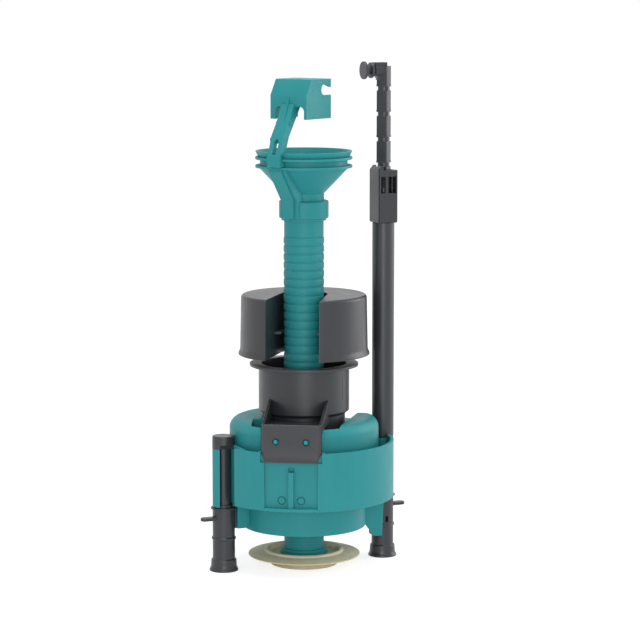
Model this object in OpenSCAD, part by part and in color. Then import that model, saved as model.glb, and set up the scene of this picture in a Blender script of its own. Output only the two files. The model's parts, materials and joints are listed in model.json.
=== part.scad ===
// Toilet flush valve: a lifting overflow tube with a seal, an adjustable float,
// a fixed float chamber on two feet and a telescopic half-flush lift rod.
// Millimetres, +Z up, origin on the tube axis at floor level, both feet on the X axis.

/* [Node] */
// Sub-part to draw

/* [Fits] */
// Radial clearance of faces that run or turn on each other
slip = 0.08; // [0.03:0.01:0.1]
// Clearance of pieces that pass each other
clear = 0.4; // [0.3:0.05:0.8]
// Wall thickness of the moulded shells
wall = 2; // [1.6:0.1:2.6]
// Lift of the tube and of the half-flush rod
lift = 12; // [8:0.5:12.5]
// Turn of the front side away from the foot line
front_angle = 31; // [20:1:45]
// Turn of the float slot away from the foot line
float_angle = 34; // [20:1:45]
// Turn of the lift hook away from the foot line
hook_angle = 57; // [45:1:65]

/* [Feet and legs] */
// Distance between the two leg axes
leg_span = 97; // [94:0.5:104]
// Height of a foot sleeve
foot_h = 36; // [32:0.5:36]
// Radius of a foot sleeve
foot_r = 6.25; // [5.8:0.05:6.6]
// Radius of the flared foot at the floor
foot_flare_r = 8.1; // [7.4:0.1:9]
// Height of the stepped lower part of the sleeve
foot_step_h = 6.5; // [5:0.1:9]
// Height of the ridge ring on the sleeve
foot_ridge_z = 18.5; // [14:0.5:22]
// Radius of the post socket in the foot
socket_r = 4.5; // [3.6:0.1:5]
// Depth of the post socket
socket_depth = 12; // [8:0.5:14]
// Radius of the leg spindles
spindle_r = 3.9; // [3:0.05:4.1]
// Radius of the spindle head
head_r = 6.25; // [5.5:0.1:7]
// Height of the spindle head
head_h = 7.2; // [5:0.1:10]
// Reach of the finger tab from the leg axis
tab_reach = 13.6; // [11:0.5:16]
// Width of the finger tab
tab_w = 5; // [4:0.5:8]

/* [Carrier band] */
// Reach of the band's outer face beyond the leg axes
band_over = 2; // [1.5:0.1:4.5]
// Lower edge of the band
band_z = 39.2; // [38:0.1:41]
// Upper edge of the band
band_top = 71.4; // [69:0.5:75]
// Radius of the clip boss round each leg
boss_r = 6.2; // [5.6:0.05:6.2]
// Width of the recessed front panel
panel_w = 29.8; // [24:0.2:32]
// Depth of the panel face behind the band's outer face
panel_depth = 4.1; // [3.1:0.1:4.5]
// Distance between the two snap pegs
peg_gap = 16.7; // [12:0.1:20]
// Radius of a snap peg
peg_r = 1.2; // [0.9:0.05:1.5]

/* [Lower housing] */
// Outer radius of the lower cylinder
housing_r = 34.6; // [32.5:0.1:35]
// Lower face of the lower cylinder
housing_z = 22.2; // [22.2:0.1:25]
// Radius of each water hole in the lower plate
port_r = 4.6; // [3:0.1:5.2]
// Half width of a leg wing
wing_half = 9.4; // [9:0.1:11]
// Lower edge of the right leg wing
wing_z = 13.5; // [11:0.5:17]

/* [Float chamber] */
// Gap between the chamber and the leg bosses
chamber_gap = 0.35; // [0.3:0.05:2.2]
// Height of the chamber ridge
chamber_top = 84.2; // [83.5:0.1:85]
// Radius of the rounded shoulder
shoulder_r = 6; // [4:0.1:8]
// Width of the channel across the chamber top
channel_w = 46.6; // [44:0.2:50]

/* [Guide cup] */
// Outer radius of the cup
cup_r = 25.5; // [24.8:0.1:27]
// Top of the cup
cup_top = 114.6; // [108:0.2:115]
// Radius of the top flange
cup_flange_r = 30.5; // [28:0.1:33]
// Thickness of the top flange
cup_flange_t = 1.5; // [1.2:0.1:2.5]
// Outer radius of the spigot under the cup
spigot_r = 23.2; // [20:0.1:23.3]
// Width of the bracket
bracket_w = 33.4; // [30:0.2:34]

/* [Overflow tube] */
// Outer radius of the plain tube
tube_r = 11.25; // [10.6:0.05:11.4]
// Radius of the water bore
bore_r = 9.2; // [8.4:0.1:9.4]
// Distance between two rings of the tube
ring_pitch = 4.66; // [4:0.02:5]
// Number of rings
ring_count = 17; // [14:1:18]
// Upper end of the ringed length
ring_top = 185.8; // [184:0.5:190]
// Radius of the flange above the seal
flange_r = 13.5; // [12.5:0.1:15]

/* [Funnel] */
// Radius of the collar on the tube
collar_r = 13.8; // [13:0.1:15]
// Lower edge of the collar
collar_z = 196; // [194:0.5:197]
// Height of the collar
collar_h = 9.7; // [8:0.1:11]
// Radius of the two rim flanges
rim_r = 27; // [25:0.1:28]
// Top of the funnel lip
funnel_top = 233.4; // [231:0.5:236]

/* [Lift hook] */
// Width of the hook block
hook_w = 24.2; // [22:0.2:28]
// Depth of the hook block
hook_depth = 24.2; // [20:0.2:27]
// Height of the hook block
hook_h = 21.8; // [20:0.5:24]
// Lower edge of the hook block
hook_z = 251.3; // [248:0.5:254]
// Width of the strut
strut_w = 8.5; // [7:0.1:10]
// Thickness of the strut
strut_t = 2.4; // [2:0.1:3]

/* [Seal] */
// Outer radius of the sealing lip
seal_r = 31.5; // [28:0.1:33]
// Radius of the ring under the seal
seal_ring_r = 18.75; // [18.5:0.05:20]

/* [Volume float] */
// Outer radius of the float at the top
float_r = 35.2; // [32:0.1:36]
// Outward draft of the float wall
float_draft = 0.55; // [0.3:0.05:1.5]
// Lower edge of the float
float_z = 119.6; // [119:0.1:122]
// Height of the float
float_h = 33.7; // [28:0.1:34]
// Radius of the round end of the slot
float_bore_r = 13.2; // [12.8:0.1:15]
// Width of the slot at its mouth
slot_w = 32; // [28:0.5:34]

/* [Half-flush rod] */
// Outer radius of the lift tube
rod_tube_r = 6.25; // [6.1:0.05:6.5]
// Bore of the lift tube and of the housing
rod_bore_r = 4.75; // [4.65:0.05:4.85]
// Upper end of the lift tube
rod_tube_top = 191.6; // [186:0.5:194]
// Width of the clip housing
clip_w = 12; // [11.6:0.1:13]
// Height of the clip housing
clip_h = 29.8; // [27:0.2:30]
// Radius of the notched rod
rod_r = 4.3; // [4:0.05:4.35]
// Distance between two notches
notch_pitch = 14.2; // [12.5:0.1:14.5]
// Number of notches
notch_count = 6; // [6:1:7]
// Top of the rod elbow
elbow_top = 281.5; // [276:0.5:284]
// Radius of the spool discs
spool_r = 5; // [4:0.1:6]

/* [Hidden] */
$fn = 96;
eps = 0.01;
teal = [0.24, 0.56, 0.58];
slate = [0.31, 0.31, 0.33];
beige = [0.62, 0.6, 0.5];
leg_x = leg_span / 2;
band_r = leg_x + band_over;
foot_rim_t = 1.2;
foot_rim_r = foot_r + 1;
foot_neck_r = 4.9;
foot_neck_h = 1.5;
foot_slot_w = 1.6;
foot_slot_d = 2.5;
boss_z = foot_h + clear;
boss_top = band_top - 2.2;
boss_slot_w = 2 * spindle_r + 2 * slip;
boss_slot_reach = 15.5;
web_t = 1.6;
web_reach = sqrt(band_r * band_r - pow(leg_x - boss_slot_w / 2, 2)) - 0.8;
tab_t = 1.8;
tab_z = foot_h - 7.2;
band_in = band_r - wall;
back_top = band_top - 3;
panel_z = band_z + 1.8;
panel_t = 2.2;
panel_y = band_r - panel_depth;
panel_front = panel_y + 0.2;
panel_rib_w = 3;
panel_rib_t = 2.2;
panel_rib_top = band_top - 10.4;
panel_notch_d = 1.1;
panel_notch_h = 2;
boss_mark_x = 5.3;
boss_mark_r = 1.75;
boss_mark_gap = 0.6;
boss_mark_d = 0.8;
panel_half = sqrt(band_r * band_r - panel_front * panel_front) - 1;
panel_rise = 0.5;
bracket_seat = panel_y - 0.3;
plate_in = panel_y + 0.2;
plate_t = 1.8;
plate_z = band_top - 4.9;
lip_h = 4.6;
lip_out = 2;
peg_z = band_top + 6.4;
peg_l = 4.4;
peg_tip = 0.5;
tongue_top = peg_z + 4;
tongue_w = peg_gap + 5.3;
floor_t = wall;
floor_top = band_z + floor_t;
leg_hole_r = foot_rim_r + clear;
wing_end = leg_x - 4.2;
wing_back = 3;
wing_toe = 4.7;
cup_base = chamber_top + 4;
cup_floor = chamber_top - 9.2;
channel_front_z = chamber_top - 1.3;
channel_flare = 5;
channel_bay = 3.2;
channel_back = 15;
channel_rim = 3;
channel_z = chamber_top - 7;
lobe_end = 15;
bay_end = -14;
chamber_r = leg_x - max(boss_r, rod_tube_r) - chamber_gap;
shelf_t = 1.5;
shelf_z = channel_front_z + clear;
plate_top = shelf_z + shelf_t + 2.5;
plate_chamfer = 1.7;
fin_t = 1.6;
fin_top = cup_base + 8.6;
flange_z = 5.9;
flange_top = 9.2;
flange_step = 0.9;
groove_r = tube_r - 0.4;
crest_r = tube_r + 0.12;
ring_round_r = 11;
ring_gap = 0.66;
tube_top = collar_z + collar_h - 0.2;
spigot_tube_r = tube_r - 0.22;
fork_t = 3;
fork_z = floor_top + 2.9;
fork_w = 4;
fork_r = flange_r + 2;
fork_in_r = tube_r + clear + 0.2;
lift_flange_t = 2;
main_float_z = fork_z + fork_t + clear + lift_flange_t + 0.4;
main_float_h = 12;
main_float_r = chamber_r - wall - 4;
neck_r = tube_r + 0.05;
cone_z = collar_z + collar_h + 4.3;
cone_top = funnel_top - 9.3;
rim_t = 1.4;
rim2_z = funnel_top - 4.7;
groove_rim_r = rim_r - 2.7;
hook_front = 15;
hook_back = hook_front - hook_depth;
hook_slant_z = hook_z + hook_h - 8.7;
hook_slant_y = hook_front - 5.2;
hook_top = hook_z + hook_h;
hook_pin_r = 3;
hook_pin_y = hook_back + 6.4;
hook_pin_z = hook_top - 5.9;
hook_mouth = [hook_back - hook_pin_y, 1.1];
hook_tooth_a = atan2(hook_mouth[1], hook_mouth[0]) - acos(hook_pin_r / norm(hook_mouth));
strut_in = rim_r + 0.2;
strut_out = strut_in + strut_t;
strut_low_z = funnel_top - 1.6;
strut_bend_z = hook_z - 9.3;
strut_end_z = hook_z + 7;
strut_slot_w = 2.8;
lug_h = 1.8;
lug_reach = 0.7;
lug_low_z = strut_bend_z - 2.3;
lug_low_y = strut_out - 4;
lug_high_z = strut_bend_z + 6.4;
lug_high_y = strut_out - 9.6;
seal_web_z = flange_z - 2.4;
seal_lip_z = flange_z - 0.6;
seal_lip_t = 0.7;
seal_inner_r = tube_r - 0.85;
bead_r = 1.5;
bead_top = flange_z + 2.7;
float_top = float_z + float_h;
float_bottom_r = float_r + float_draft;
float_wall = 1.8;
float_edge_r = 1.8;
clip_plate_z = float_z + 12.4;
clip_plate_t = 1.4;
rod_foot = boss_top + 0.3;
rod_plug_r = rod_bore_r - slip;
rod_plug_h = 13;
stem_bottom = socket_depth + 5;
clip_top = rod_tube_top + clip_h;
clip_edge = 0.5;
clip_groove_w = 0.5;
clip_groove_d = 0.7;
clip_roof_h = 2.5;
clip_roof_w = 2.1;
window_h = 9.3;
window_z = clip_top - 13;
rod_spigot_r = (rod_bore_r + clip_w / 2) / 2 - 0.04;
rod_spigot_h = 5;
lip_r = rod_r + 0.15;
rod_flat = 0.75 * rod_r;
notch_r = rod_flat + 0.12;
notch_h = 2.2;
notch_top = elbow_top - 14.6;
rod_bottom = notch_top - (notch_count - 1) * notch_pitch - 8;
elbow_z = elbow_top - 4.4;
spool_shank_r = 2.3;
spool_disc_t = 1.4;
spool_inner = 7.9;
spool_outer = 12.2;

module tube_shape(r_out, r_in, z0, z1) {
    translate([0, 0, z0]) difference() {
        cylinder(r = r_out, h = z1 - z0);
        translate([0, 0, -1]) cylinder(r = r_in, h = z1 - z0 + 2);
    }
}

// Turn to the front side: local -Y points at the bracket.
module at_front() {
    rotate([0, 0, -front_angle]) children();
}

// Turn to the float slot: local -Y points out of the slot.
module at_slot() {
    rotate([0, 0, -float_angle]) children();
}

// Turn to the lift hook: local -Y points out along the strut.
module at_hook() {
    rotate([0, 0, -hook_angle]) children();
}

// Slab drawn as a side view (distance out from the axis, height) and given a width.
module side_slab(w) {
    rotate([90, 0, -90]) linear_extrude(height = w, center = true) children();
}

module foot_body() {
    difference() {
        union() {
            rotate_extrude() polygon([
                [0, 0], [foot_flare_r, 0], [foot_flare_r, 0.7], [foot_r + 1, 2.6],
                [foot_r + 0.8, foot_step_h], [foot_r, foot_step_h + 0.6],
                [foot_r, foot_h - foot_rim_t], [foot_rim_r, foot_h - foot_rim_t + 0.3],
                [foot_rim_r, foot_h], [foot_neck_r, foot_h],
                [foot_neck_r, foot_h + foot_neck_h], [0, foot_h + foot_neck_h]
            ]);
            rotate_extrude() translate([foot_r - 0.5, foot_ridge_z]) circle(r = 1.1);
            translate([0, -tab_w / 2, tab_z]) cube([tab_reach - tab_w / 2, tab_w, tab_t]);
            translate([tab_reach - tab_w / 2, 0, tab_z]) cylinder(r = tab_w / 2, h = tab_t);
        }
        translate([0, 0, -1]) cylinder(r = socket_r, h = socket_depth + 1);
        translate([0, 0, socket_depth + 2])
            cylinder(r = spindle_r + slip, h = foot_h + foot_neck_h - socket_depth);
        translate([-foot_slot_w / 2, -2 * foot_r, foot_ridge_z + 2])
            cube([foot_slot_w, foot_r + foot_slot_d, 2 * foot_slot_w]);
    }
}

module left_foot() {
    color(slate) translate([-leg_x, 0, 0]) rotate([0, 0, 180]) foot_body();
}

module right_foot() {
    color(slate) translate([leg_x, 0, 0]) foot_body();
}

module left_spindle() {
    color(slate) translate([-leg_x, 0, 0]) difference() {
        union() {
            translate([0, 0, stem_bottom])
                cylinder(r = spindle_r, h = boss_top - stem_bottom + 1);
            rotate_extrude() polygon([
                [0, boss_top], [head_r, boss_top], [head_r, boss_top + head_h - 0.4],
                [head_r - 0.4, boss_top + head_h], [0, boss_top + head_h]
            ]);
        }
        translate([-boss_slot_w / 2, -head_r - 1, boss_top - 1])
            cube([boss_slot_w, head_r + 1 - spindle_r, 3.5]);
    }
}

// Clip boss with the web that joins it to the band past the open side.
module leg_boss() {
    translate([leg_x, 0, boss_z]) cylinder(r = boss_r, h = boss_top - boss_z + 1);
    translate([leg_x - boss_slot_w / 2 - web_t, 0, band_z])
        cube([web_t, web_reach, band_top - band_z]);
}

module leg_boss_cuts() {
    translate([leg_x, 0, boss_z - 1]) cylinder(r = spindle_r + slip, h = boss_top - boss_z + 2);
    translate([leg_x, 0, boss_z - 1])
        cylinder(r = foot_neck_r + slip, h = foot_neck_h + 1 + clear);
    translate([leg_x - boss_slot_w / 2, 0, boss_z - 1])
        cube([boss_slot_w, boss_slot_reach, band_top - boss_z + 2]);
    translate([leg_x, 0, boss_top]) cylinder(r = max(head_r, rod_tube_r) + clear, h = band_top);
}

module carrier_band() {
    color(teal) difference() {
        union() {
            tube_shape(band_r, band_in, band_z, band_top);
            leg_boss();
            rotate([0, 0, 180]) leg_boss();
            at_front() {
                translate([-panel_half, -panel_front, band_z])
                    cube([2 * panel_half, panel_front - panel_y + panel_t, band_top + panel_rise - band_z]);
                translate([-panel_w / 2, -band_in - 0.5, band_z])
                    cube([panel_w, band_in - panel_y + 1, panel_z - band_z]);
                translate([-tongue_w / 2, -panel_y, band_top - 1])
                    cube([tongue_w, panel_t, tongue_top - band_top + 1]);
            }
        }
        leg_boss_cuts();
        rotate([0, 0, 180]) leg_boss_cuts();
        translate([-band_r - 9, boss_r + 0.6, back_top]) cube([2 * band_r + 18, band_r, 20]);
        translate([leg_x - boss_r - 1, -fork_w / 2 - clear, fork_z - clear])
            cube([boss_r + 1, fork_w + 2 * clear, fork_t + lift + 2 * clear]);
        at_front() {
            translate([-panel_w / 2, -panel_y - 12, panel_z]) cube([panel_w, 12, band_top]);
            translate([-bracket_w / 2 - clear, -bracket_seat - 12, plate_z - clear])
                cube([bracket_w + 2 * clear, 12, band_top]);
            translate([-panel_rib_w / 2, -panel_y - 1, panel_rib_top])
                cube([panel_rib_w, panel_notch_d + 1, panel_notch_h]);
            for (s = [-1, 1]) translate([s * boss_mark_x, -panel_y + boss_mark_d, panel_z + 4])
                rotate([90, 0, 0]) cylinder(r = boss_mark_r + boss_mark_gap, h = boss_mark_d + 1);
        }
    }
    color(teal) at_front() {
        translate([-panel_rib_w / 2, -panel_y - panel_rib_t, panel_z - eps])
            cube([panel_rib_w, panel_rib_t + eps, panel_rib_top - panel_z]);
        for (s = [-1, 1]) {
            translate([s * boss_mark_x, -panel_y + boss_mark_d + eps, panel_z + 4]) rotate([90, 0, 0])
                cylinder(r = boss_mark_r, h = boss_mark_d + 0.4);
            translate([s * peg_gap / 2, 1 - panel_y, peg_z]) rotate([90, 0, 0]) rotate_extrude() polygon([
                [0, 0], [peg_r, 0], [peg_r, peg_l - peg_tip], [peg_r - peg_tip, peg_l], [0, peg_l]
            ]);
        }
    }
}

// Hollow wing on the closed side of the right leg, from the height root down to the height low.
module wing(root, low) {
    difference() {
        translate([0, (wing_back - wing_half) / 2, 0]) rotate([90, 0, 0])
            linear_extrude(height = wing_half + wing_back, center = true) polygon([
                [housing_r - 4, root], [housing_r - 1.6, root],
                [wing_end - wing_toe, low], [wing_end, low], [wing_end + 1, band_z + eps],
                [housing_r - 4, band_z + eps]
            ]);
        translate([leg_x, 0, 0]) cylinder(r = leg_hole_r, h = band_top);
        translate([housing_r - 5, -2.4, 0]) cube([leg_span, 2.4 + wing_back + 1, housing_z + 1.2]);
        translate([housing_r - 5, -wing_half + wall, 0])
            cube([leg_x - leg_hole_r - wall - housing_r + 5, wing_half + wing_back - 2 * wall, band_z]);
    }
}

module lower_housing() {
    color(teal) difference() {
        union() {
            tube_shape(housing_r, housing_r - wall, housing_z, floor_top);
            translate([0, 0, housing_z]) cylinder(r = housing_r - eps, h = wall);
            tube_shape(band_in - slip, housing_r - wall, band_z, floor_top);
            difference() {
                union() {
                    wing(housing_z, wing_z);
                    rotate([0, 0, 180]) wing(housing_z + 2.6, housing_z + 0.3);
                }
                cylinder(r = housing_r - wall, h = 80);
            }
        }
        translate([0, 0, housing_z - 1]) cylinder(r = tube_r + slip, h = wall + 2);
        for (i = [0 : 7]) rotate([0, 0, i * 45 + 22.5])
            translate([22.2, 0, housing_z - 1]) cylinder(r = port_r, h = wall + 2);
        for (a = [0, 180]) rotate([0, 0, a]) {
            translate([leg_x, 0, 0]) cylinder(r = leg_hole_r, h = 80);
            translate([leg_x - boss_slot_w / 2 - web_t - slip, 0, band_z - 1])
                cube([20, web_reach + 2, floor_t + 2]);
        }
        at_front() translate([-20, -band_in - 1, band_z - 1])
            cube([40, band_in + 1 - panel_y + panel_t + slip, floor_t + 2]);
    }
}

// Half section of a round-shouldered cover.
module cover_profile(r, top, edge) {
    square([r - edge, top - floor_top]);
    square([r, top - floor_top - edge]);
    translate([r - edge, top - floor_top - edge]) circle(r = edge);
}

// Plan of the channel across the chamber top, drawn d wider on each side.
module channel_plan(d) {
    polygon([
        [-channel_w / 2 - d, -chamber_r - 1], [channel_w / 2 + d, -chamber_r - 1],
        [channel_w / 2 + channel_flare + d, lobe_end - d], [chamber_r + 1, lobe_end - d],
        [chamber_r + 1, chamber_r + 1], [-channel_back - d, chamber_r + 1],
        [-channel_back - d, bay_end + d], [-channel_w / 2 - channel_bay - d, bay_end + d]
    ]);
}

module float_chamber() {
    color(teal) difference() {
        translate([0, 0, floor_top]) rotate_extrude() intersection() {
            cover_profile(chamber_r, chamber_top, shoulder_r);
            square([100, 100]);
        }
        difference() {
            translate([0, 0, floor_top]) rotate_extrude() intersection() {
                translate([0, -eps]) cover_profile(chamber_r - wall, chamber_top - wall, shoulder_r - wall);
                translate([0, -1]) square([100, 100]);
            }
            at_front() translate([0, 0, channel_z - wall]) linear_extrude(height = 30) channel_plan(wall);
        }
        translate([0, 0, cup_floor - 10]) cylinder(r = spigot_r + 0.3, h = 40);
        at_front() {
            translate([0, 0, channel_front_z]) linear_extrude(height = 30) channel_plan(0);
            translate([0, 0, channel_z]) linear_extrude(height = 30) intersection() {
                channel_plan(0);
                union() {
                    circle(r = chamber_r - channel_rim);
                    translate([-chamber_r - 1, 0]) square([2 * chamber_r + 2, chamber_r + 1]);
                }
            }
        }
        translate([0, -fork_w / 2 - clear, floor_top - 1])
            cube([chamber_r + 1, fork_w + 2 * clear, fork_z + fork_t + lift + clear - floor_top + 1]);
    }
}

module guide_cup() {
    color(slate) difference() {
        union() {
            rotate_extrude() polygon([
                [0, cup_floor], [spigot_r, cup_floor], [spigot_r, cup_base - 1.7],
                [cup_r, cup_base], [cup_r, cup_top - cup_flange_t],
                [cup_flange_r, cup_top - cup_flange_t], [cup_flange_r, cup_top], [0, cup_top]
            ]);
            at_front() {
                translate([-bracket_w / 2, -plate_in, shelf_z])
                    cube([bracket_w, plate_in - cup_r + 8, shelf_t]);
                bracket_plate();
                for (s = [-1, 1]) translate([s * (bracket_w - fin_t) / 2, 0, 0]) fin();
            }
        }
        translate([0, 0, cup_base]) cylinder(r = cup_r - 1.8, h = 60);
        translate([0, 0, cup_floor + wall]) cylinder(r = spigot_r - 1.8, h = 60);
        translate([0, 0, cup_floor - 1]) cylinder(r = tube_r + slip, h = wall + 2);
        at_front() for (s = [-1, 1]) translate([s * peg_gap / 2, -plate_in + 1, peg_z])
            rotate([90, 0, 0]) cylinder(r = peg_r + 0.7, h = plate_t + 4);
    }
}

// Front plate of the bracket with its rolled top edge, bent lip and chamfered sides.
module bracket_plate() {
    half = bracket_w / 2;
    neck = half - plate_chamfer;
    face_y = plate_in + plate_t;
    side_y = face_y - plate_chamfer;
    intersection() {
        side_slab(bracket_w) {
            translate([plate_in, plate_z + lip_h - 0.6])
                square([plate_t, plate_top - plate_z - lip_h + 0.6 - plate_t / 2]);
            translate([plate_in + plate_t / 2, plate_top - plate_t / 2]) circle(r = plate_t / 2);
            polygon([
                [face_y + lip_out, plate_z], [plate_in + lip_out, plate_z],
                [plate_in, plate_z + lip_h], [face_y, plate_z + lip_h]
            ]);
        }
        translate([0, 0, plate_z - 1]) linear_extrude(height = plate_top - plate_z + 2) polygon([
            [-half, 0], [-half, -side_y], [-neck, -face_y], [-neck, -2 * side_y],
            [neck, -2 * side_y], [neck, -face_y], [half, -side_y], [half, 0]
        ]);
    }
}

// Side fin of the bracket, rising from the plate's top to the cup wall.
module fin() {
    side_slab(fin_t) polygon([
        [plate_in + 0.1, shelf_z], [plate_in + 0.1, plate_top - plate_t / 2],
        [cup_r - 6, fin_top], [cup_r - 8, fin_top], [cup_r - 8, shelf_z]
    ]);
}

module overflow_tube() {
    color(teal) rotate_extrude() difference() {
        union() {
            polygon([
                [0, 0.8], [tube_r - 0.9, 0.8], [tube_r - 0.9, flange_z], [flange_r, flange_z],
                [flange_r, flange_top - 1.6], [flange_r - flange_step, flange_top - 1.4],
                [flange_r - flange_step, flange_top], [tube_r, flange_top],
                [tube_r, fork_z - clear - lift_flange_t], [fork_r, fork_z - clear - lift_flange_t],
                [fork_r, fork_z - clear], [tube_r, fork_z - clear], [tube_r, fork_z + fork_t + clear],
                [fork_r, fork_z + fork_t + clear], [fork_r, fork_z + fork_t + clear + lift_flange_t],
                [tube_r, fork_z + fork_t + clear + lift_flange_t],
                [tube_r, ring_top - ring_count * ring_pitch],
                [groove_r, ring_top - ring_count * ring_pitch], [groove_r, ring_top],
                [spigot_tube_r, ring_top], [spigot_tube_r, tube_top], [0, tube_top]
            ]);
            for (i = [0 : ring_count - 1])
                translate([crest_r - ring_round_r, ring_top - (i + 0.5) * ring_pitch])
                    intersection() {
                        circle(r = ring_round_r);
                        translate([0, (ring_gap - ring_pitch) / 2]) square([2 * ring_round_r, ring_pitch - ring_gap]);
                    }
        }
        square([bore_r, funnel_top]);
    }
}

module funnel_inside() {
    polygon([
        [0, collar_z - 2], [spigot_tube_r + 0.05, collar_z - 2],
        [spigot_tube_r + 0.05, tube_top + 0.1], [bore_r, tube_top + 0.1],
        [bore_r, cone_z + 0.4], [rim_r - 4.4, cone_top + 0.4], [rim_r - 4.2, rim2_z],
        [rim_r - 1.2, funnel_top + 0.1], [0, funnel_top + 0.1]
    ]);
}

module funnel() {
    color(teal) difference() {
        union() {
            rotate_extrude() polygon([
                [0, collar_z], [collar_r - 0.4, collar_z], [collar_r, collar_z + 0.4],
                [collar_r, collar_z + collar_h - 0.5], [collar_r - 0.5, collar_z + collar_h],
                [neck_r, collar_z + collar_h + 0.2], [neck_r, cone_z - 0.3], [rim_r - 2, cone_top],
                [rim_r, cone_top], [rim_r, cone_top + rim_t], [groove_rim_r, cone_top + rim_t],
                [groove_rim_r, rim2_z], [rim_r, rim2_z], [rim_r, rim2_z + rim_t],
                [rim_r - 1.6, rim2_z + rim_t], [rim_r, funnel_top], [0, funnel_top]
            ]);
            at_hook() {
                rail(7.2, 2.6);
                rail(11.6, 1.2);
            }
        }
        rotate_extrude() funnel_inside();
    }
}

// Raised rail that runs from the collar up the cone to the rim.
module rail(w, t) {
    side_slab(w) polygon([
        [bore_r + 0.4, collar_z + 0.6], [collar_r + t - 0.6, collar_z + 0.6],
        [collar_r + t - 0.6, collar_z + collar_h + 1], [rim_r - 2.6 + t, cone_top - 1.6],
        [rim_r - 2.6 + t, cone_top + eps], [rim_r - 5, cone_top + eps], [bore_r + 0.4, cone_z - 1]
    ]);
}

module lock_ring() {
    color(teal) difference() {
        tube_shape(collar_r - 1.3, spigot_tube_r + 0.05, collar_z - 1.2, collar_z);
        at_hook() translate([-3, 0, collar_z - 3]) cube([6, collar_r, 6]);
    }
}

module lift_hook() {
    color(teal) at_hook() difference() {
        union() {
            difference() {
                side_slab(hook_w) polygon([
                    [hook_back, hook_z], [hook_front, hook_z], [hook_front, hook_slant_z],
                    [hook_slant_y, hook_top], [hook_back, hook_top]
                ]);
                side_slab(hook_w - 2 * wall) polygon([
                    [hook_back - 1, hook_z - 1], [hook_front - wall, hook_z - 1],
                    [hook_front - wall, hook_slant_z - 0.6], [hook_slant_y - 1.2, hook_top - wall],
                    [hook_back - 1, hook_top - wall]
                ]);
                side_slab(hook_w + 2) translate([hook_pin_y, hook_pin_z]) pin_slot();
                translate([-hook_w / 2 + 6.6, -hook_front - 1, hook_z - 1])
                    cube([hook_w - 11.4, wall + 1.5, 8]);
                translate([-hook_w / 2 + 3.6, -hook_front - 1, hook_z - 1])
                    cube([hook_w - 5.4, wall + 1.5, 5]);
                for (x = [-hook_w / 2 + 6.6, hook_w / 2 - 4.8]) translate([x, -hook_front - 1, hook_z + 4])
                    rotate([-90, 0, 0]) cylinder(r = 3, h = wall + 1.5);
            }
            side_slab(strut_w) polygon([
                [strut_in, cone_top + rim_t + 0.2], [strut_out, cone_top + rim_t + 0.2], [strut_out, strut_low_z],
                [strut_out - 2.1, strut_low_z + 3.8], [strut_out - 4.1, strut_bend_z],
                [strut_out - 10.2, strut_bend_z + 9.8], [hook_front + 0.6, strut_end_z + 1.4],
                [hook_front - wall, strut_end_z + 1.4], [hook_front - wall, strut_end_z - 1.6],
                [strut_out - 12.8, strut_bend_z + 8.5], [strut_out - 6.4, strut_bend_z - 0.4],
                [strut_in - 2.1, strut_low_z + 3.2], [strut_in, strut_low_z - 0.6]
            ]);
            for (s = [-1, 1]) translate([s * (strut_w / 2 - 0.9), 0, 0]) side_slab(1.8) polygon([
                [strut_in, funnel_top - 1.2], [strut_in + 0.5, strut_low_z], [strut_out - 4.6, strut_bend_z],
                [hook_front, strut_end_z], [hook_front - wall, strut_end_z + 1],
                [hook_front - wall - 4.6, hook_z + 8], [strut_in - 7, strut_bend_z],
                [strut_in - 3.8, funnel_top + 0.5], [strut_in - 1, funnel_top + 0.5]
            ]);
            side_slab(strut_w) polygon([
                [groove_rim_r + 0.2, cone_top + rim_t + 0.2], [strut_in + 1, cone_top + rim_t + 0.2],
                [strut_in + 1, rim2_z - 0.2], [groove_rim_r + 0.2, rim2_z - 0.2]
            ]);
            side_slab(1.8) polygon([
                [hook_front - 1, hook_slant_z - 0.6], [hook_front, hook_slant_z - 0.6],
                [strut_out - 9.4, strut_bend_z + 9], [strut_out - 6.2, strut_bend_z + 3],
                [strut_out - 12.4, strut_bend_z + 9], [hook_front - 1, strut_end_z]
            ]);
            translate([-strut_w / 2 - lug_reach, -lug_low_y, lug_low_z])
                cube([2 * lug_reach, strut_t, lug_h]);
            translate([-strut_w / 2 - lug_reach, -lug_high_y, lug_high_z])
                cube([strut_w + 2 * lug_reach, strut_t, lug_h]);
        }
        translate([0, -strut_out - 1, strut_low_z + 0.8]) rotate([-90, 0, 0])
            linear_extrude(height = 6.4) polygon([
                [-strut_slot_w / 2, 0], [strut_slot_w / 2, 0], [strut_slot_w / 2, -7],
                [0, -7 - strut_slot_w / 2], [-strut_slot_w / 2, -7]
            ]);
    }
}

// Side view of the hook slot: a round seat that narrows to its mouth under a slanted tooth.
module pin_slot() {
    circle(r = hook_pin_r);
    polygon([
        [0, -hook_pin_r], [0, 0], hook_pin_r * [cos(hook_tooth_a), sin(hook_tooth_a)], hook_mouth,
        hook_mouth - [1, 0.3], [hook_mouth[0] - 1, -hook_pin_r]
    ]);
}

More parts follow.
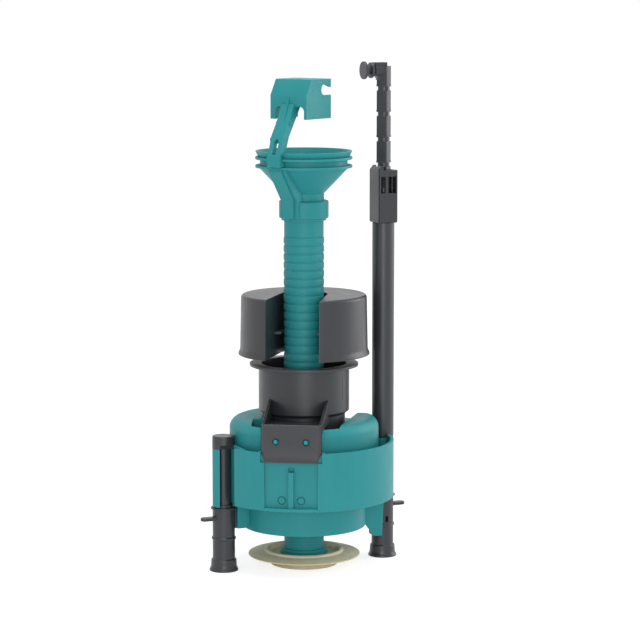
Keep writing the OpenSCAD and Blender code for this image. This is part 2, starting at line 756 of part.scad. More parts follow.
module seal() {
    bead_x = seal_ring_r + 0.6 + bead_r;
    color(beige) rotate_extrude() {
        polygon([
            [seal_inner_r, seal_web_z], [seal_ring_r - 2, seal_web_z], [seal_ring_r - 2, 0],
            [seal_ring_r, 0], [seal_ring_r + 0.6, seal_web_z - 0.4], [seal_r - 6, seal_lip_z - 1.4],
            [seal_r - seal_lip_t / 2, seal_lip_z], [seal_r - seal_lip_t / 2, seal_lip_z + seal_lip_t],
            [seal_r - 4.6, bead_top - 1.7], [bead_x + bead_r, bead_top - 1.2],
            [bead_x, bead_top - bead_r], [bead_x - bead_r, bead_top - bead_r],
            [bead_x - bead_r, flange_z], [seal_inner_r, flange_z]
        ]);
        translate([bead_x, bead_top - bead_r]) circle(r = bead_r);
        translate([seal_r - seal_lip_t / 2, seal_lip_z + seal_lip_t / 2]) circle(r = seal_lip_t / 2);
    }
}

module seal_retainer() {
    color(slate) tube_shape(seal_ring_r - 2.6, seal_inner_r, 0.8, seal_web_z);
}

module main_float() {
    color(slate) difference() {
        translate([0, 0, main_float_z]) cylinder(r = main_float_r, h = main_float_h);
        difference() {
            translate([0, 0, main_float_z - 1]) cylinder(r = main_float_r - 1.8, h = main_float_h - 0.8);
            cylinder(r = tube_r + 2, h = chamber_top);
        }
        cylinder(r = tube_r + 0.04, h = chamber_top);
    }
}

// Plan of the float slot, widened by d on each side.
module float_slot(d) {
    polygon([[-slot_w / 2 - d, -50], [slot_w / 2 + d, -50], [float_bore_r + d, 0], [-float_bore_r - d, 0]]);
    circle(r = float_bore_r + d);
}

module volume_float() {
    color(slate) at_slot() difference() {
        rotate_extrude() {
            polygon([
                [0, float_z], [float_bottom_r + 1, float_z], [float_bottom_r + 1, float_z + 0.9],
                [float_bottom_r + 0.2, float_z + 2.6], [float_bottom_r, float_z + 4],
                [float_r, float_top - float_edge_r],
                [float_r - float_edge_r, float_top - float_edge_r], [float_r - float_edge_r, float_top],
                [0, float_top]
            ]);
            translate([float_r - float_edge_r, float_top - float_edge_r]) circle(r = float_edge_r);
        }
        translate([0, 0, float_z - 1]) linear_extrude(height = float_h + 2) float_slot(0);
        difference() {
            rotate_extrude() polygon([
                [0, float_z - 1], [float_bottom_r - float_wall, float_z - 1],
                [float_r - float_wall, float_top - float_edge_r],
                [float_r - float_edge_r, float_top - float_wall], [0, float_top - float_wall]
            ]);
            translate([0, 0, float_z - 2]) linear_extrude(height = float_h + 4) float_slot(float_wall);
        }
    }
}

module float_clip() {
    color(slate) at_slot() translate([0, 0, clip_plate_z]) difference() {
        linear_extrude(height = clip_plate_t) intersection() {
            float_slot(-0.05);
            translate([-30, -14]) square([60, 40]);
        }
        translate([0, 0, -1]) cylinder(r = crest_r + clear, h = clip_plate_t + 2);
        translate([-tube_r + 1, -20, -1]) cube([2 * tube_r - 2, 20, clip_plate_t + 2]);
    }
}

module lift_tube() {
    color(slate) translate([leg_x, 0, 0]) {
        tube_shape(rod_tube_r, rod_bore_r, rod_foot, rod_tube_top);
        tube_shape(rod_spigot_r, rod_bore_r, rod_tube_top - 1, rod_tube_top + rod_spigot_h);
    }
}

module lift_fork() {
    color(slate) {
        translate([leg_x, 0, stem_bottom]) cylinder(r = spindle_r, h = rod_foot - stem_bottom + 1);
        translate([leg_x, 0, rod_foot]) cylinder(r = rod_plug_r, h = rod_plug_h);
        difference() {
            union() {
                translate([fork_in_r + 1, -fork_w / 2, fork_z])
                    cube([leg_x - fork_in_r - 1, fork_w, fork_t]);
                translate([0, 0, fork_z]) cylinder(r = fork_r - 0.5, h = fork_t);
            }
            translate([0, 0, fork_z - 1]) cylinder(r = fork_in_r, h = fork_t + 2);
            translate([-30, -30, fork_z - 1]) cube([30, 60, fork_t + 2]);
        }
    }
}

module clip_housing() {
    color(slate) translate([leg_x, 0, 0]) difference() {
        union() {
            intersection() {
                rotate([90, 0, 0]) linear_extrude(height = clip_w, center = true) clip_side();
                rotate([90, 0, 90]) linear_extrude(height = clip_w, center = true) clip_side();
            }
            rotate([90, 0, 0]) linear_extrude(height = clip_w, center = true) polygon([
                [-clip_w / 2, clip_top - 1], [-clip_w / 2, clip_top],
                [clip_roof_w - clip_w / 2, clip_top + clip_roof_h],
                [clip_roof_w + 1.4 - clip_w / 2, clip_top + clip_roof_h],
                [clip_roof_w + 1.4 - clip_w / 2, clip_top - 1]
            ]);
        }
        translate([0, 0, rod_tube_top - 1]) cylinder(r = rod_bore_r, h = clip_h + clip_roof_h + 2);
        translate([0, 0, rod_tube_top - 1]) cylinder(r = rod_spigot_r + 0.04, h = rod_spigot_h + 1.2);
        translate([-clip_w / 2 + 2, -clip_w / 2 - 1, window_z]) cube([2.7, clip_w / 2, window_h]);
        translate([0.5, -clip_w / 2 - 1, window_z]) cube([4.7, clip_w / 2, window_h]);
        translate([clip_groove_w - clip_w / 2, -clip_w / 2 - 1, rod_tube_top + clip_edge])
            cube([clip_groove_w, clip_groove_d + 1, clip_h + clip_roof_h]);
    }
}

// Side view of the housing with its chamfered lower edge.
module clip_side() {
    polygon([
        [-clip_w / 2 + clip_edge, rod_tube_top], [clip_w / 2 - clip_edge, rod_tube_top],
        [clip_w / 2, rod_tube_top + clip_edge], [clip_w / 2, clip_top], [-clip_w / 2, clip_top],
        [-clip_w / 2, rod_tube_top + clip_edge]
    ]);
}

// Square bar that stands on a corner, with its corners turned down to the radius r.
module corner_bar(flat, r, h) {
    intersection() {
        rotate([0, 0, 45]) translate([-flat, -flat, 0]) cube([2 * flat, 2 * flat, h]);
        cylinder(r = r, h = h);
    }
}

module notched_rod() {
    color(slate) translate([leg_x, 0, 0]) difference() {
        union() {
            translate([0, 0, rod_bottom]) corner_bar(rod_flat, rod_r, elbow_top - 2.1 - rod_bottom);
            for (i = [0 : notch_count - 1])
                translate([0, 0, notch_top - i * notch_pitch + notch_h / 2])
                    corner_bar(rod_flat + lip_r - rod_r, lip_r, 1.2);
            translate([-6, 0, elbow_z]) rotate([0, 90, 0]) cylinder(r = 3.5, h = 6);
            translate([-6, -2.7, elbow_z]) cube([7, 5.4, elbow_top - elbow_z]);
            translate([0, 0, elbow_z - 5.5]) rotate([90, 0, 0]) linear_extrude(height = 4, center = true)
                difference() {
                    translate([-rod_r - 2, 0]) square([rod_r + 2, 5.5]);
                    translate([-rod_r - 2.3, 0]) circle(r = 2.5);
                }
        }
        for (i = [0 : notch_count - 1]) translate([0, 0, notch_top - i * notch_pitch - notch_h / 2])
            difference() {
                cylinder(r = rod_r + 1, h = notch_h);
                translate([0, 0, -1]) cylinder(r = notch_r, h = notch_h + 2);
            }
        translate([-7, 0, elbow_z]) rotate([0, 90, 0]) cylinder(r = spool_shank_r + 0.04, h = 5);
    }
}

module rod_spool() {
    color(slate) translate([leg_x, 0, elbow_z]) rotate([0, -90, 0]) {
        translate([0, 0, 2.2]) cylinder(r = spool_shank_r, h = spool_outer - 2.2);
        translate([0, 0, spool_inner - spool_disc_t / 2]) cylinder(r = spool_r - 0.6, h = spool_disc_t);
        translate([0, 0, spool_outer - spool_disc_t / 2]) cylinder(r = spool_r, h = spool_disc_t);
    }
}

left_foot();
right_foot();
left_spindle();
carrier_band();
lower_housing();
float_chamber();
guide_cup();
overflow_tube();
funnel();
lock_ring();
lift_hook();
seal();
seal_retainer();
main_float();
volume_float();
float_clip();
lift_tube();
lift_fork();
clip_housing();
notched_rod();
rod_spool();
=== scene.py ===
import json
import math

import bmesh
import bpy
from bpy.props import FloatProperty, FloatVectorProperty, PointerProperty
from bpy.types import Operator, Panel, PropertyGroup
from mathutils import Matrix, Vector

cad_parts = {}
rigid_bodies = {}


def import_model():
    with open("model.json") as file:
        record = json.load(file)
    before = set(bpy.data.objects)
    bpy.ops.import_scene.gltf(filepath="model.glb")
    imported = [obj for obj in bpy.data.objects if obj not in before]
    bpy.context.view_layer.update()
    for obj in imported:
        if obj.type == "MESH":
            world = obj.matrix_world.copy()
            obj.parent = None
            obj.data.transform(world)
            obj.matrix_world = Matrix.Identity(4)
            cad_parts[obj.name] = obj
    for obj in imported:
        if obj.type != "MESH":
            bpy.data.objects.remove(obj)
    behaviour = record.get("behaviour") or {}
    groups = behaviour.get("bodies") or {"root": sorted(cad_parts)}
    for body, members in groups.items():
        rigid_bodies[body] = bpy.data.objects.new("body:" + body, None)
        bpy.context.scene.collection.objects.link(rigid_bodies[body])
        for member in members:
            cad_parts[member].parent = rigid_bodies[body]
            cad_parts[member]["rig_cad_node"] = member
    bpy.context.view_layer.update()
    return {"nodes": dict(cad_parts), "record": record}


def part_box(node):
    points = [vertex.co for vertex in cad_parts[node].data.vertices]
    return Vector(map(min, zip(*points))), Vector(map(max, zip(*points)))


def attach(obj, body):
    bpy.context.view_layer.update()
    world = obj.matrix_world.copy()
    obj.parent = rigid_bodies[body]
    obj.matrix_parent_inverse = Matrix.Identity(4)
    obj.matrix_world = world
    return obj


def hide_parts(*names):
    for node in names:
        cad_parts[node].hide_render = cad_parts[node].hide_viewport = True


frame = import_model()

bl_info = {
    "name": "Flush valve looks",
    "version": (1, 1, 0),
    "blender": (4, 5, 0),
    "location": "View3D > Sidebar > Flush valve",
    "description": "Moulded edges, mould marks, finishes and studio stage of a toilet flush valve",
    "category": "Object",
}

MM = 0.001
UP = Vector((0, 0, 1))
FRONT = Vector((0, -1, 0))

TEAL_NODES = (
    "carrier_band", "lower_housing", "float_chamber", "overflow_tube", "funnel", "lock_ring", "lift_hook",
)
GREY_NODES = (
    "left_foot", "right_foot", "left_spindle", "guide_cup", "volume_float", "float_clip", "lift_tube",
    "clip_housing", "notched_rod", "rod_spool",
)
HIDDEN_GREY_NODES = ("seal_retainer", "main_float", "lift_fork")
RUBBER_NODES = ("seal",)
BODY_OF = {
    node: body for body, nodes in frame["record"]["behaviour"]["bodies"].items() for node in nodes
}

# Points of a copied mesh that lie closer than this are merged.
WELD = 0.002 * MM
# Faces that turn less than this count as one flat face.
FLAT_TURN = math.radians(0.6)
# Edges that turn more than this are rounded.
SHARP_TURN = math.radians(32)
# Edges that turn less than this are shaded smooth.
SMOOTH_TURN = math.radians(38)
# Thin pieces get a smaller edge radius, as a share of the usual one.
FINE_EDGES = {"notched_rod": 0.65, "float_clip": 0.6, "lock_ring": 0.6, "rod_spool": 0.8}
# Pieces whose edges are rounded only this far down from their top.
TOP_EDGES = {"left_spindle": 1.0 * MM}

# Gate marks on the backs of the mouldings: turn round the piece in degrees and share of its height.
GATES = {
    "carrier_band": (130, 0.4), "volume_float": (150, 0.5), "guide_cup": (150, 0.8),
    "lower_housing": (150, 0.55), "funnel": (150, 0.1), "clip_housing": (180, 0.3),
    "left_foot": (180, 0.4), "right_foot": (180, 0.4), "lift_tube": (180, 0.5),
}
# Parting lines: turn round the piece in degrees, and the shares of its height where they start and end.
PARTINGS = {
    "left_foot": (90, 0.56, 0.88), "right_foot": (-90, 0.56, 0.88), "lift_tube": (90, 0.1, 0.95),
    "volume_float": (60, 0.2, 0.85), "guide_cup": (60, 0.6, 0.9),
}
# The wall that a mark stands on is looked for from this far outside the piece.
OUTSIDE = 200 * MM

# Widths of the patterns on the mouldings, and the depths of what can be felt.
CLOUD = 26 * MM
FLOW_LINE = 2.6 * MM
POLISH_PATCH = 9 * MM
SINK_MARK = 14 * MM
SINK_DEPTH = 0.25 * MM
# Width of the band along convex edges that is painted lighter, partly as wear and partly as a painted
# highlight.
WORN_AND_HIGHLIT_EDGE = 0.6 * MM
GRAIN_DEPTH = 0.06 * MM
# Widths of the patterns on the seal, and how far light goes into it.
DUST_SPECK = 4 * MM
RUBBER_GRAIN = 0.5 * MM
LIGHT_DEPTH = 2 * MM

# Light of the world on the valve, where 1 is the white that the camera sees.
WORLD_LIGHT = 0.6
# The floor as the camera sees it: the grey that takes the shadow, and the glow that makes it white.
FLOOR_GREY = 0.4
FLOOR_GLOW = 0.78
FLOOR_SIZE = 12
LAMP_AIM = 0.14 * UP
# Lamps: place to the right, towards the camera and up, side in metres and power in watts.
LAMPS = {
    "side_lamp": ((1.25, -0.45, 0.5), 0.9, 7),
    "fill_lamp": ((0.05, 1.5, 0.3), 0.6, 6),
    "top_lamp": ((0, 0.1, 1.5), 1.0, 11),
}


def linear(hex_code):
    """Linear RGB of an sRGB hex colour."""
    parts = [int(hex_code[i:i + 2], 16) / 255 for i in (1, 3, 5)]
    return tuple(c / 12.92 if c <= 0.04045 else ((c + 0.055) / 1.055) ** 2.4 for c in parts)


class ValveColours(PropertyGroup):
    """Colours of the finishes and of the stage."""
    teal: FloatVectorProperty(
        name="Teal", description="Colour of the teal mouldings", subtype="COLOR",
        default=linear("#2A898D"), min=0, max=1,
    )
    grey: FloatVectorProperty(
        name="Grey", description="Colour of the dark grey mouldings", subtype="COLOR",
        default=linear("#2F3034"), min=0, max=1,
    )
    seal: FloatVectorProperty(
        name="Seal", description="Colour of the silicone seal", subtype="COLOR",
        default=linear("#D9CEAE"), min=0, max=1,
    )
    floor: FloatVectorProperty(
        name="Floor", description="Colour of the studio floor", subtype="COLOR",
        default=linear("#F2F2F2"), min=0, max=1,
    )


class ValveSizes(PropertyGroup):
    """Sizes of the mould details and of the camera."""
    edge: FloatProperty(
        name="Edge radius", description="Radius of the moulded edges", subtype="DISTANCE",
        default=0.3 * MM, min=0, max=1 * MM, precision=5,
    )
    grain: FloatProperty(
        name="Grain", description="Width of one grain of the eroded mould surface", subtype="DISTANCE",
        default=0.45 * MM, min=0.05 * MM, max=2 * MM, precision=5,
    )
    gate_radius: FloatProperty(
        name="Gate radius", description="Radius of the mark where a gate was cut off", subtype="DISTANCE",
        default=1.3 * MM, min=0.5 * MM, max=3 * MM, precision=5,
    )
    gate_height: FloatProperty(
        name="Gate height", description="Height that a gate mark stands proud", subtype="DISTANCE",
        default=0.25 * MM, min=0.05 * MM, max=1 * MM, precision=5,
    )
    parting_width: FloatProperty(
        name="Parting width", description="Width of the bead along a parting line", subtype="DISTANCE",
        default=0.3 * MM, min=0.1 * MM, max=1 * MM, precision=5,
    )
    camera_distance: FloatProperty(
        name="Camera distance", description="Level distance from the tube axis to the camera",
        subtype="DISTANCE", default=1.411, min=0.5, max=4,
    )
    camera_height: FloatProperty(
        name="Camera height", description="Height of the camera above the floor", subtype="DISTANCE",
        default=0.3286, min=0, max=2,
    )
    camera_turn: FloatProperty(
        name="Camera turn", description="Where the camera stands round the valve", subtype="ANGLE",
        default=math.radians(-22.4), min=-math.pi, max=math.pi,
    )
    camera_tilt: FloatProperty(
        name="Camera tilt", description="How far the camera looks down", subtype="ANGLE",
        default=math.radians(7.673), min=-math.pi / 2, max=math.pi / 2,
    )
    camera_aside: FloatProperty(
        name="Camera aside", description="How far the camera looks to the right of the tube axis",
        subtype="ANGLE", default=math.radians(0.365), min=-math.pi / 2, max=math.pi / 2,
    )
    camera_lens: FloatProperty(
        name="Camera lens", description="Focal length of the camera", subtype="DISTANCE_CAMERA",
        default=143.13, min=10, max=500,
    )


def add_node(tree, kind, inputs=None, **settings):
    """Adds a node with its settings, and links or sets the inputs that are named."""
    made = tree.nodes.new(kind)
    for key, value in settings.items():
        setattr(made, key, value)
    for key, value in (inputs or {}).items():
        if isinstance(value, bpy.types.NodeSocket):
            tree.links.new(value, made.inputs[key])
        else:
            made.inputs[key].default_value = value
    return made


def new_material(name):
    """Empty node material with its tree and output node."""
    material = bpy.data.materials.new(name)
    material.use_nodes = True
    tree = material.node_tree
    tree.nodes.clear()
    return material, tree, add_node(tree, "ShaderNodeOutputMaterial")


def moulded_plastic(name, colour, roughness, shine, mottle, edge_wear_and_highlight):
    """Injection-moulded plastic from a spark-eroded mould: a fine even grain that spreads the
    highlights, faint clouds and upright flow lines from the filling of the mould, walls that sink in
    a little, and edges painted lighter, partly as handling wear and partly as a painted highlight."""
    material, tree, output = new_material(name)
    place = add_node(tree, "ShaderNodeTexCoord").outputs["Object"]
    cloud = add_node(tree, "ShaderNodeTexNoise", {
        "Vector": place, "Scale": 1 / CLOUD, "Detail": 3.0, "Roughness": 0.55,
    })
    drawn_out = add_node(tree, "ShaderNodeMapping", {"Vector": place, "Scale": (1, 1, 0.06)})
    flow = add_node(tree, "ShaderNodeTexNoise", {
        "Vector": drawn_out.outputs["Vector"], "Scale": 1 / FLOW_LINE, "Detail": 2.0, "Roughness": 0.5,
    })
    mixed = add_node(tree, "ShaderNodeMath", {
        0: cloud.outputs["Fac"], 1: flow.outputs["Fac"],
    }, operation="ADD")
    tone = add_node(tree, "ShaderNodeMapRange", {
        "Value": mixed.outputs[0], "From Min": 0.7, "From Max": 1.3,
        "To Min": 1 - mottle, "To Max": 1 + mottle,
    })
    tinted = add_node(tree, "ShaderNodeVectorMath", {
        0: colour, "Scale": tone.outputs["Result"],
    }, operation="SCALE")
    # Convex edges are found from how thin the piece is near them and painted lighter: partly handling
    # wear, partly a painted highlight.
    thickness = add_node(tree, "ShaderNodeAmbientOcclusion", {
        "Distance": WORN_AND_HIGHLIT_EDGE,
    }, inside=True, only_local=True, samples=8)
    worn_and_highlit = add_node(tree, "ShaderNodeMapRange", {
        "Value": thickness.outputs["AO"], "From Min": 0.95, "From Max": 0.4,
        "To Min": 1.0, "To Max": edge_wear_and_highlight,
    })
    base = add_node(tree, "ShaderNodeVectorMath", {
        0: tinted.outputs["Vector"], "Scale": worn_and_highlit.outputs["Result"],
    }, operation="SCALE")
    patches = add_node(tree, "ShaderNodeTexNoise", {
        "Vector": place, "Scale": 1 / POLISH_PATCH, "Detail": 4.0, "Roughness": 0.6,
    })
    polish = add_node(tree, "ShaderNodeMapRange", {
        "Value": patches.outputs["Fac"], "From Min": 0.25, "From Max": 0.75,
        "To Min": roughness - 0.05, "To Max": roughness + 0.06,
    })
    sink = add_node(tree, "ShaderNodeTexNoise", {
        "Vector": place, "Scale": 1 / SINK_MARK, "Detail": 1.0,
    })
    sunk = add_node(tree, "ShaderNodeBump", {
        "Strength": 0.35, "Distance": SINK_DEPTH, "Height": sink.outputs["Fac"],
    })
    # The real grain is about 0.1 mm wide and is drawn coarser, so that it shows.
    grain = add_node(tree, "ShaderNodeTexNoise", {
        "Vector": place, "Scale": 1 / bpy.context.scene.valve_sizes.grain, "Detail": 2.0, "Roughness": 0.5,
    })
    bump = add_node(tree, "ShaderNodeBump", {
        "Strength": 0.12, "Distance": GRAIN_DEPTH, "Height": grain.outputs["Fac"],
        "Normal": sunk.outputs["Normal"],
    })
    shader = add_node(tree, "ShaderNodeBsdfPrincipled", {
        "Base Color": base.outputs["Vector"], "Roughness": polish.outputs["Result"], "IOR": 1.49,
        "Specular IOR Level": shine, "Normal": bump.outputs["Normal"],
    })
    tree.links.new(shader.outputs["BSDF"], output.inputs["Surface"])
    return material


def teal_polypropylene():
    """Teal polypropylene, moulded: a waxy satin with wide, weak highlights."""
    return moulded_plastic(
        "Teal polypropylene, moulded satin", tuple(bpy.context.scene.valve_colours.teal),
        roughness=0.46, shine=0.22, mottle=0.03, edge_wear_and_highlight=1.2,
    )


def grey_acetal():
    """Dark grey acetal, moulded: smoother and harder than the teal plastic, so it shines more, with edges
    painted lighter as wear and as a painted highlight.
    """
    return moulded_plastic(
        "Dark grey acetal, moulded satin", tuple(bpy.context.scene.valve_colours.grey),
        roughness=0.34, shine=0.5, mottle=0.05, edge_wear_and_highlight=1.7,
    )


def silicone_rubber():
    """Beige silicone rubber from a blasted mould: matt, slightly see-through at its thin lip and
    faintly dusty."""
    material, tree, output = new_material("Beige silicone rubber, moulded matt")
    colour = tuple(bpy.context.scene.valve_colours.seal)
    place = add_node(tree, "ShaderNodeTexCoord").outputs["Object"]
    dust = add_node(tree, "ShaderNodeTexNoise", {
        "Vector": place, "Scale": 1 / DUST_SPECK, "Detail": 5.0, "Roughness": 0.65,
    })
    tone = add_node(tree, "ShaderNodeMapRange", {
        "Value": dust.outputs["Fac"], "From Min": 0.3, "From Max": 0.7, "To Min": 0.94, "To Max": 1.06,
    })
    base = add_node(tree, "ShaderNodeVectorMath", {
        0: colour, "Scale": tone.outputs["Result"],
    }, operation="SCALE")
    # The real grain is about 0.1 mm wide and is drawn coarser, so that it shows.
    grain = add_node(tree, "ShaderNodeTexNoise", {
        "Vector": place, "Scale": 1 / RUBBER_GRAIN, "Detail": 2.0,
    })
    bump = add_node(tree, "ShaderNodeBump", {
        "Strength": 0.15, "Distance": GRAIN_DEPTH, "Height": grain.outputs["Fac"],
    })
    shader = add_node(tree, "ShaderNodeBsdfPrincipled", {
        "Base Color": base.outputs["Vector"], "Roughness": 0.62, "IOR": 1.41,
        "Subsurface Weight": 0.25, "Subsurface Radius": (1.0, 0.8, 0.5), "Subsurface Scale": LIGHT_DEPTH,
        "Normal": bump.outputs["Normal"],
    })
    tree.links.new(shader.outputs["BSDF"], output.inputs["Surface"])
    return material


def select_only(piece):
    """Selects this object alone and makes it active."""
    bpy.ops.object.select_all(action="DESELECT")
    piece.select_set(True)
    bpy.context.view_layer.objects.active = piece


def set_material(piece, material):
    """Gives a piece one finish all over."""
    piece.data.materials.clear()
    piece.data.materials.append(material)


def select_sharp_edges(piece, lowest):
    """Selects the outer sharp edges of the piece in edit mode that lie above the height lowest."""
    bpy.ops.mesh.select_all(action="DESELECT")
    bpy.ops.mesh.select_mode(type="EDGE")
    bpy.ops.mesh.edges_select_sharp(sharpness=SHARP_TURN)
    shape = bmesh.from_edit_mesh(piece.data)
    for edge in shape.edges:
        if edge.select and not (edge.is_convex and min(point.co.z for point in edge.verts) > lowest):
            edge.select_set(False)
    bmesh.update_edit_mesh(piece.data)


def rounded_copy(name, material):
    """Copy of one of the construction's pieces with its sharp edges rounded, as the mould leaves them.
    It takes the place of the piece."""
    edge = bpy.context.scene.valve_sizes.edge * FINE_EDGES.get(name, 1.0)
    low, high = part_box(name)
    lowest = high.z - TOP_EDGES[name] if name in TOP_EDGES else low.z - 1
    select_only(frame["nodes"][name])
    bpy.ops.object.duplicate()
    piece = bpy.context.object
    piece.name = name + "_moulded"
    # The copy no longer counts as a node of the construction.
    del piece["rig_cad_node"]
    bpy.ops.mesh.customdata_custom_splitnormals_clear()
    bpy.ops.object.mode_set(mode="EDIT")
    bpy.ops.mesh.select_all(action="SELECT")
    bpy.ops.mesh.remove_doubles(threshold=WELD)
    bpy.ops.mesh.dissolve_limited(angle_limit=FLAT_TURN)
    select_sharp_edges(piece, lowest)
    bpy.ops.mesh.bevel(offset=edge, segments=2, affect="EDGES", clamp_overlap=False)
    bpy.ops.object.mode_set(mode="OBJECT")
    bpy.ops.object.shade_smooth_by_angle(angle=SMOOTH_TURN)
    bpy.ops.object.modifier_add(type="WEIGHTED_NORMAL")
    piece.modifiers[-1].keep_sharp = True
    bpy.ops.object.modifier_apply(modifier=piece.modifiers[-1].name)
    set_material(piece, material)
    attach(piece, BODY_OF[name])
    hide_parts(name)


class VALVE_OT_teal_mouldings(Operator):
    """Rounds the edges of the teal mouldings and finishes them"""
    bl_idname = "valve.teal_mouldings"
    bl_label = "Teal mouldings"

    def execute(self, context):
        plastic = teal_polypropylene()
        for name in TEAL_NODES:
            rounded_copy(name, plastic)
        return {"FINISHED"}


class VALVE_OT_grey_mouldings(Operator):
    """Rounds the edges of the dark grey mouldings and finishes them"""
    bl_idname = "valve.grey_mouldings"
    bl_label = "Dark grey mouldings"

    def execute(self, context):
        plastic = grey_acetal()
        for name in GREY_NODES:
            rounded_copy(name, plastic)
        for name in HIDDEN_GREY_NODES:
            set_material(frame["nodes"][name], plastic)
        return {"FINISHED"}


class VALVE_OT_rubber_seal(Operator):
    """Finishes the seal, whose edges are round in the construction"""
    bl_idname = "valve.rubber_seal"
    bl_label = "Rubber seal"

    def execute(self, context):
        rubber = silicone_rubber()
        for name in RUBBER_NODES:
            set_material(frame["nodes"][name], rubber)
        return {"FINISHED"}


def select_faces(piece, direction):
    """Selects the faces of the piece in edit mode that look in a direction."""
    bpy.ops.mesh.select_mode(type="FACE")
    bpy.ops.mesh.select_all(action="DESELECT")
    shape = bmesh.from_edit_mesh(piece.data)
    for face in shape.faces:
        face.select_set(face.normal.dot(direction) > 0.9)
    bmesh.update_edit_mesh(piece.data)


def wall_spot(name, turn, share):
    """Place and outward normal on the wall of a piece, at a turn round it and a share of its height."""
    low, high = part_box(name)
    outward = Vector((math.sin(turn), -math.cos(turn), 0))
    start = (low + high) / 2 + OUTSIDE * outward
    start.z = low.z + share * (high.z - low.z)
    piece = bpy.data.objects[name + "_moulded"]
    found, place, normal, _ = piece.ray_cast(start, -outward)
    if not found:
        raise RuntimeError(name + " has no wall there")
    return place, normal


def set_copy(master, kind, name, matrix):
    """Copies a modelled mark to its place on a piece of the valve."""
    select_only(master)
    bpy.ops.object.duplicate()
    piece = bpy.context.object
    piece.name = kind + "_" + name
    piece.matrix_world = matrix
    bpy.ops.object.transform_apply(location=True, rotation=True, scale=True)
    set_material(piece, bpy.data.objects[name + "_moulded"].active_material)
    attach(piece, BODY_OF[name])


def clear_away(master):
    """Deletes the model that the copies were made from."""
    select_only(master)
    bpy.ops.object.delete()


def new_gate_mark():
    """Round pad with a dished middle and the stub of the cut gate in it, half sunk in the wall."""
    sizes = bpy.context.scene.valve_sizes
    height = sizes.gate_height
    ring_width = 0.3 * sizes.gate_radius
    dish_depth = 0.7 * height
    stub_height = 0.5 * height
    rounding = 0.2 * height
    bpy.ops.object.select_all(action="DESELECT")
    bpy.ops.mesh.primitive_cylinder_add(vertices=40, radius=sizes.gate_radius, depth=2 * height)
    mark = bpy.context.object
    bpy.ops.object.mode_set(mode="EDIT")
    select_faces(mark, UP)
    bpy.ops.mesh.inset(thickness=ring_width)
    bpy.ops.transform.translate(value=(0, 0, -dish_depth))
    bpy.ops.mesh.inset(thickness=ring_width)
    bpy.ops.transform.translate(value=(0, 0, stub_height))
    select_sharp_edges(mark, 0)
    bpy.ops.mesh.bevel(offset=rounding, segments=2, affect="EDGES", clamp_overlap=False)
    bpy.ops.object.mode_set(mode="OBJECT")
    bpy.ops.object.shade_smooth_by_angle(angle=SMOOTH_TURN)
    return mark


class VALVE_OT_gate_marks(Operator):
    """Adds the marks where the gates were cut off the backs of the mouldings"""
    bl_idname = "valve.gate_marks"
    bl_label = "Gate marks"

    def execute(self, context):
        mark = new_gate_mark()
        for name, (turn, share) in GATES.items():
            place, normal = wall_spot(name, math.radians(turn), share)
            upright = normal.to_track_quat("Z", "Y").to_matrix().to_4x4()
            set_copy(mark, "gate", name, Matrix.Translation(place) @ upright)
        clear_away(mark)
        return {"FINISHED"}


def new_parting_line():
    """Upright bead of unit length with a narrow crest, half sunk in the wall that it stands on."""
    width = bpy.context.scene.valve_sizes.parting_width
    crest_share = 0.35
    rounding = 0.08 * width
    bpy.ops.object.select_all(action="DESELECT")
    bpy.ops.mesh.primitive_cube_add(size=1)
    line = bpy.context.object
    bpy.ops.object.mode_set(mode="EDIT")
    bpy.ops.mesh.select_all(action="SELECT")
    bpy.ops.transform.resize(value=(width, width, 1))
    select_faces(line, FRONT)
    bpy.ops.transform.resize(value=(crest_share, 1, 1))
    bpy.ops.mesh.bevel(offset=rounding, segments=2, affect="EDGES", clamp_overlap=False)
    bpy.ops.object.mode_set(mode="OBJECT")
    bpy.ops.object.shade_smooth_by_angle(angle=SMOOTH_TURN)
    return line


class VALVE_OT_parting_lines(Operator):
    """Adds the fine beads along the parting lines of the moulds"""
    bl_idname = "valve.parting_lines"
    bl_label = "Parting lines"

    def execute(self, context):
        line = new_parting_line()
        for name, (degrees, start, end) in PARTINGS.items():
            turn = math.radians(degrees)
            low, _ = wall_spot(name, turn, start)
            high, _ = wall_spot(name, turn, end)
            stretch = Matrix.Diagonal((1, 1, (high - low).length, 1))
            lean = (high - low).to_track_quat("Z", "Y").to_matrix().to_4x4()
            turned = lean @ Matrix.Rotation(turn, 4, "Z")
            set_copy(line, "parting", name, Matrix.Translation((low + high) / 2) @ turned @ stretch)
        clear_away(line)
        return {"FINISHED"}


def seen_as_background(tree):
    """Socket that is 1 where the camera or a reflection sees the surface, and 0 for its light."""
    rays = add_node(tree, "ShaderNodeLightPath")
    seen = add_node(tree, "ShaderNodeMath", {
        0: rays.outputs["Is Camera Ray"], 1: rays.outputs["Is Glossy Ray"],
    }, operation="MAXIMUM")
    return seen.outputs[0]


def studio_world():
    """Soft even light all round, and plain white where the camera or a reflection sees it."""
    world = bpy.data.worlds.new("Studio white")
    world.use_nodes = True
    tree = world.node_tree
    tree.nodes.clear()
    output = add_node(tree, "ShaderNodeOutputWorld")
    strength = add_node(tree, "ShaderNodeMapRange", {
        "Value": seen_as_background(tree), "To Min": WORLD_LIGHT, "To Max": 1.0,
    })
    sky = add_node(tree, "ShaderNodeBackground", {
        "Color": (1, 1, 1, 1), "Strength": strength.outputs["Result"],
    })
    tree.links.new(sky.outputs["Background"], output.inputs["Surface"])
    bpy.context.scene.world = world


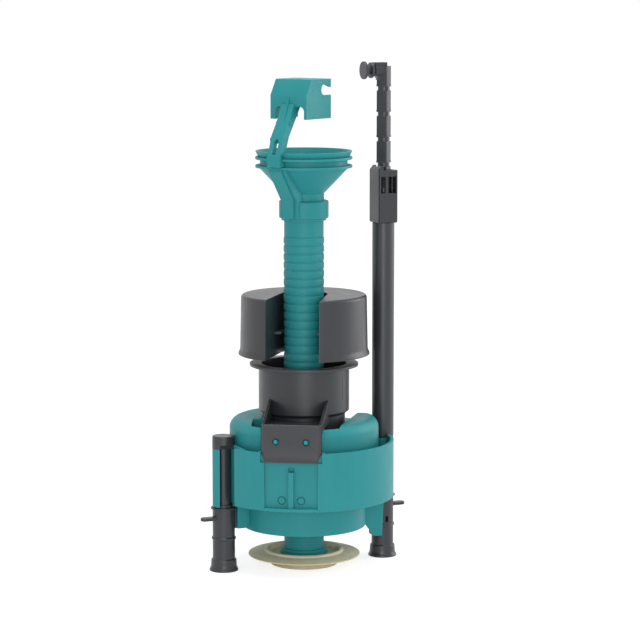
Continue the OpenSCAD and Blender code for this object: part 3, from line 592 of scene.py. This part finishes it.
def floor_finish():
    """Matt white studio floor that shows white to the camera and keeps a soft shadow."""
    material, tree, output = new_material("Studio floor, matt white")
    colour = (*bpy.context.scene.valve_colours.floor, 1.0)
    painted = add_node(tree, "ShaderNodeBsdfDiffuse", {"Color": colour})
    dimmed = add_node(tree, "ShaderNodeBsdfDiffuse", {"Color": (FLOOR_GREY, FLOOR_GREY, FLOOR_GREY, 1)})
    lit = add_node(tree, "ShaderNodeEmission", {"Color": (1, 1, 1, 1), "Strength": FLOOR_GLOW})
    pale = add_node(tree, "ShaderNodeAddShader", {0: dimmed.outputs[0], 1: lit.outputs[0]})
    shown = add_node(tree, "ShaderNodeMixShader", {
        0: seen_as_background(tree), 1: painted.outputs[0], 2: pale.outputs[0],
    })
    tree.links.new(shown.outputs[0], output.inputs["Surface"])
    return material


def studio_floor():
    """Level floor that the valve stands on."""
    bpy.ops.mesh.primitive_plane_add(size=FLOOR_SIZE, location=(0, 0, 0))
    floor = bpy.context.object
    floor.name = "studio_floor"
    set_material(floor, floor_finish())


def studio_lamp(name, place, side, power):
    """Square soft lamp at a place, aimed at the middle of the valve."""
    bpy.ops.object.light_add(type="AREA", location=place)
    lamp = bpy.context.object
    lamp.name = name
    lamp.data.size = side
    lamp.data.energy = power
    lamp.rotation_mode = "QUATERNION"
    lamp.rotation_quaternion = (LAMP_AIM - lamp.location).to_track_quat("-Z", "Y")


def photo_camera(towards):
    """Camera with a long lens, on the side of the valve that towards points to."""
    sizes = bpy.context.scene.valve_sizes
    bpy.ops.object.camera_add()
    camera = bpy.context.object
    camera.name = "photo_camera"
    camera.location = sizes.camera_distance * towards + sizes.camera_height * UP
    camera.rotation_euler = (math.pi / 2 - sizes.camera_tilt, 0, sizes.camera_turn - sizes.camera_aside)
    camera.data.sensor_width = 36
    camera.data.lens = sizes.camera_lens
    camera.data.clip_start = 0.05
    bpy.context.scene.camera = camera


class VALVE_OT_stage(Operator):
    """Adds the floor, the soft studio light and the camera"""
    bl_idname = "valve.stage"
    bl_label = "Studio stage"

    def execute(self, context):
        turn = context.scene.valve_sizes.camera_turn
        right = Vector((math.cos(turn), math.sin(turn), 0))
        towards = Vector((math.sin(turn), -math.cos(turn), 0))
        studio_floor()
        studio_world()
        for name, ((aside, ahead, height), side, power) in LAMPS.items():
            studio_lamp(name, aside * right + ahead * towards + height * UP, side, power)
        photo_camera(towards)
        context.scene.view_settings.view_transform = "Standard"
        return {"FINISHED"}


class VALVE_PT_panel(Panel):
    """Sidebar panel with the settings and the steps of the looks"""
    bl_idname = "VALVE_PT_panel"
    bl_label = "Flush valve"
    bl_space_type = "VIEW_3D"
    bl_region_type = "UI"
    bl_category = "Flush valve"

    def draw(self, context):
        for group in (context.scene.valve_colours, context.scene.valve_sizes):
            for name in group.__annotations__:
                self.layout.prop(group, name)
        for step in STEPS:
            self.layout.operator(step.bl_idname)


STEPS = (
    VALVE_OT_teal_mouldings,
    VALVE_OT_grey_mouldings,
    VALVE_OT_rubber_seal,
    VALVE_OT_gate_marks,
    VALVE_OT_parting_lines,
    VALVE_OT_stage,
)
CLASSES = (ValveColours, ValveSizes, *STEPS, VALVE_PT_panel)


def register():
    """Registers the classes and hangs the settings on the scene."""
    for item in CLASSES:
        bpy.utils.register_class(item)
    bpy.types.Scene.valve_colours = PointerProperty(type=ValveColours)
    bpy.types.Scene.valve_sizes = PointerProperty(type=ValveSizes)


def unregister():
    """Takes the settings and the classes away again."""
    del bpy.types.Scene.valve_sizes
    del bpy.types.Scene.valve_colours
    for item in reversed(CLASSES):
        bpy.utils.unregister_class(item)


def main():
    """Runs the steps in order."""
    register()
    bpy.ops.valve.teal_mouldings()
    bpy.ops.valve.grey_mouldings()
    bpy.ops.valve.rubber_seal()
    bpy.ops.valve.gate_marks()
    bpy.ops.valve.parting_lines()
    bpy.ops.valve.stage()


if __name__ == "__main__":
    main()
